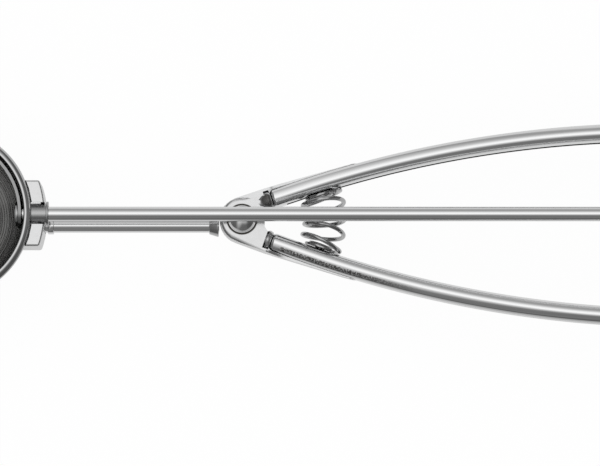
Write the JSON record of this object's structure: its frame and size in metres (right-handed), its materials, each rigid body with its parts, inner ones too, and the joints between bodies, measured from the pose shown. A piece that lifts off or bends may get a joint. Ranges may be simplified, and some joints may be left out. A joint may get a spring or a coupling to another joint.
{
  "type": "ice cream scoop",
  "caption": "Squeeze-handle ice cream scoop: open hemispherical bowl with a wiper blade, long shaft and stem, sprung bowed handles, rack and pinion.",
  "frame": {"origin": "under the middle of the scoop's bounding box, level with the bowl's lowest point", "axes": "+X along the shaft from the bowl to the handles' far ends, +Y towards the moving handle, +Z out of the bowl's open side"},
  "size_m": [0.2508, 0.0614, 0.029],
  "materials": {
    "bowl": "drawn stainless steel, polished inside and out",
    "bowl_bracket": "pressed stainless steel, polished",
    "shaft_bush": "turned stainless steel, satin",
    "stem": "drawn stainless rod, polished",
    "stem_collar": "turned stainless steel",
    "stem_foot": "turned stainless steel",
    "lower_clevis": "pressed stainless sheet, polished",
    "upper_clevis": "pressed stainless sheet, polished",
    "pivot_rivet": "headed stainless steel",
    "pivot_sleeve": "stainless tube",
    "lower_handle": "rolled stainless sheet, polished",
    "upper_handle": "rolled stainless sheet, polished",
    "return_spring": "stainless spring wire",
    "lower_spring_cup": "pressed stainless steel",
    "upper_spring_cup": "pressed stainless steel",
    "shaft": "ground stainless rod, polished",
    "wiper_blade": "pressed stainless strip, polished",
    "wiper_hub": "turned stainless steel",
    "wiper_tip_pin": "headed stainless pin",
    "pinion": "machined stainless steel",
    "pinion_pin": "stainless pin",
    "rack": "stamped stainless strip",
    "rack_rivet_1": "headed stainless steel",
    "rack_rivet_2": "headed stainless steel",
    "bearing_bracket": "pressed stainless sheet",
    "bearing_rivet_1": "headed stainless steel",
    "bearing_rivet_2": "headed stainless steel",
    "end_bush": "turned stainless steel, satin",
    "rack_guide": "folded stainless strip"
  },
  "bodies": {
    "frame": {"bowl": "bowl", "bowl_bracket": "bowl_bracket", "shaft_bush": "shaft_bush", "stem": "stem", "stem_collar": "stem_collar", "stem_foot": "stem_foot", "lower_clevis": "lower_clevis", "pivot_rivet": "pivot_rivet", "pivot_sleeve": "pivot_sleeve", "lower_handle": "lower_handle", "return_spring": "return_spring", "lower_spring_cup": "lower_spring_cup", "bearing_bracket": "bearing_bracket", "bearing_rivet_1": "bearing_rivet_1", "bearing_rivet_2": "bearing_rivet_2", "end_bush": "end_bush", "rack_guide": "rack_guide"},
    "moving_handle": {"upper_clevis": "upper_clevis", "upper_handle": "upper_handle", "upper_spring_cup": "upper_spring_cup", "rack": "rack", "rack_rivet_1": "rack_rivet_1", "rack_rivet_2": "rack_rivet_2"},
    "wiper": {"shaft": "shaft", "wiper_blade": "wiper_blade", "wiper_hub": "wiper_hub", "wiper_tip_pin": "wiper_tip_pin", "pinion": "pinion", "pinion_pin": "pinion_pin"}
  },
  "joints": [
    {"name": "handle_squeeze", "type": "hinge", "parent": "frame", "child": "moving_handle", "pos_m": [-0.01561, 0.00135, 0.01435], "axis": [0, 0, 1], "range_deg": [-6.5, 0], "stiffness_Nm_per_rad": 6, "springref_deg": 2.86, "deforming": ["return_spring"]},
    {"name": "wiper_turn", "type": "hinge", "parent": "frame", "child": "wiper", "pos_m": [-0.10061, 0.00245, 0.0234], "axis": [1, 0, 0], "range_deg": [-179.5, 0]}
  ],
  "couplings": [
    {"joint": "wiper_turn", "follows": "handle_squeeze", "ratio": 27.456}
  ]
}
